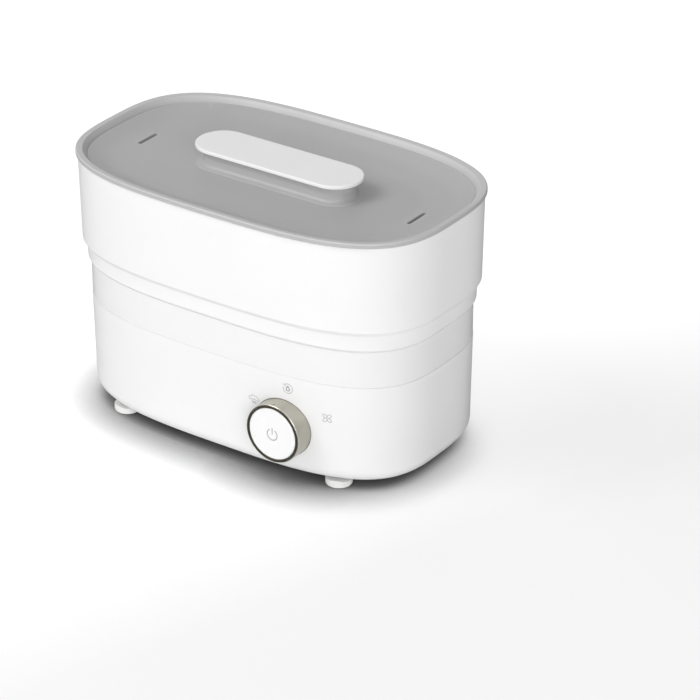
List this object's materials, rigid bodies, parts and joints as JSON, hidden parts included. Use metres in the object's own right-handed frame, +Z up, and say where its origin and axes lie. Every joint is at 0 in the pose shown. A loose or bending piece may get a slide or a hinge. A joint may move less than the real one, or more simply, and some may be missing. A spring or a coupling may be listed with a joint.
{
  "type": "bottle sterilizer",
  "caption": "Countertop steam bottle sterilizer and dryer: rounded white base with mode knob, lift-off steam basket with loose rack, and dished grey lid with a flat bar handle.",
  "frame": {"origin": "centre of the bounding box at table level, which is also the centre of the housing's footprint", "axes": "+Z up, +X to the right seen from the front, -Y the front with the knob"},
  "size_m": [0.3, 0.1856, 0.2031],
  "materials": {
    "housing_white": "smooth moulded white, softly glossy",
    "basket_white": "smooth moulded white, glossy",
    "inner_white": "satin moulded white",
    "lid_grey": "satin light grey",
    "handle_white": "satin white",
    "knob_champagne": "satin champagne metal look",
    "knob_dark": "dark polished ring",
    "button_white": "smooth white",
    "foot_rubber": "pale rubber",
    "seal_rubber": "grey silicone rubber",
    "stainless": "brushed stainless steel",
    "heater_fins": "finned aluminium",
    "contact_brass": "bright brass and copper",
    "dark_plastic": "dark moulded plastic",
    "board": "green circuit board",
    "cord_white": "soft white cord rubber",
    "wire_sheath": "grey wire sheath",
    "filter_felt": "pale felt"
  },
  "bodies": {
    "base": {"base_shell": "housing_white", "bottom_cover": "inner_white", "cover_screw_front_left": "stainless", "cover_screw_front_right": "stainless", "cover_screw_rear_left": "stainless", "cover_screw_rear_right": "stainless", "foot_front_left": "foot_rubber", "foot_front_right": "foot_rubber", "foot_rear_left": "foot_rubber", "foot_rear_right": "foot_rubber", "water_tray": "housing_white", "heating_plate": "stainless", "plate_gasket": "seal_rubber", "plate_retainer": "stainless", "plate_nut_1": "stainless", "plate_nut_2": "stainless", "plate_nut_3": "stainless", "heating_element": "stainless", "thermostat": "dark_plastic", "thermal_fuse": "contact_brass", "power_board": "board", "board_relay": "dark_plastic", "board_transformer": "contact_brass", "board_capacitor": "dark_plastic", "control_board": "board", "mode_switch": "dark_plastic", "power_switch": "dark_plastic", "fan_housing": "dark_plastic", "fan_motor": "stainless", "air_duct": "dark_plastic", "air_heater": "heater_fins", "air_outlet_cap": "inner_white", "strain_relief": "cord_white", "power_cord": "cord_white", "cord_tie": "dark_plastic", "plug_body": "cord_white", "plug_pin_left": "contact_brass", "plug_pin_right": "contact_brass", "heater_lead": "wire_sheath", "fan_lead": "wire_sheath"},
    "knob": {"knob_ring": "knob_champagne", "knob_trim": "knob_dark", "knob_carrier": "inner_white"},
    "power_button": {"power_button_cap": "button_white", "button_stem": "inner_white"},
    "fan": {"fan_impeller": "inner_white", "fan_shaft": "stainless"},
    "filter_door": {"filter_cover": "housing_white", "air_filter": "filter_felt"},
    "basket": {"basket": "basket_white"},
    "rack": {"rack_plate": "inner_white"},
    "lid": {"lid_shell": "lid_grey", "handle_cap": "handle_white", "handle_screw_left": "stainless", "handle_screw_right": "stainless"}
  },
  "joints": [
    {"name": "basket_lift", "type": "slide", "parent": "base", "child": "basket", "axis": [0, 0, 1], "range_m": [0, 0.16]},
    {"name": "lid_lift", "type": "slide", "parent": "basket", "child": "lid", "axis": [0, 0, 1], "range_m": [0, 0.12]},
    {"name": "rack_lift", "type": "slide", "parent": "basket", "child": "rack", "axis": [0, 0, 1], "range_m": [0, 0.05]},
    {"name": "knob_turn", "type": "hinge", "parent": "base", "child": "knob", "pos_m": [0.059, -0.0928, 0.0417], "axis": [0, 1, 0], "range_deg": [-63, 63]},
    {"name": "power_press", "type": "slide", "parent": "base", "child": "power_button", "axis": [0, 1, 0], "range_m": [0, 0.0012]},
    {"name": "fan_spin", "type": "hinge", "parent": "base", "child": "fan", "pos_m": [0.048, 0.034, 0.038], "axis": [0, 1, 0], "continuous": true},
    {"name": "filter_pull", "type": "slide", "parent": "base", "child": "filter_door", "axis": [0, 1, 0], "range_m": [0, 0.03]}
  ]
}
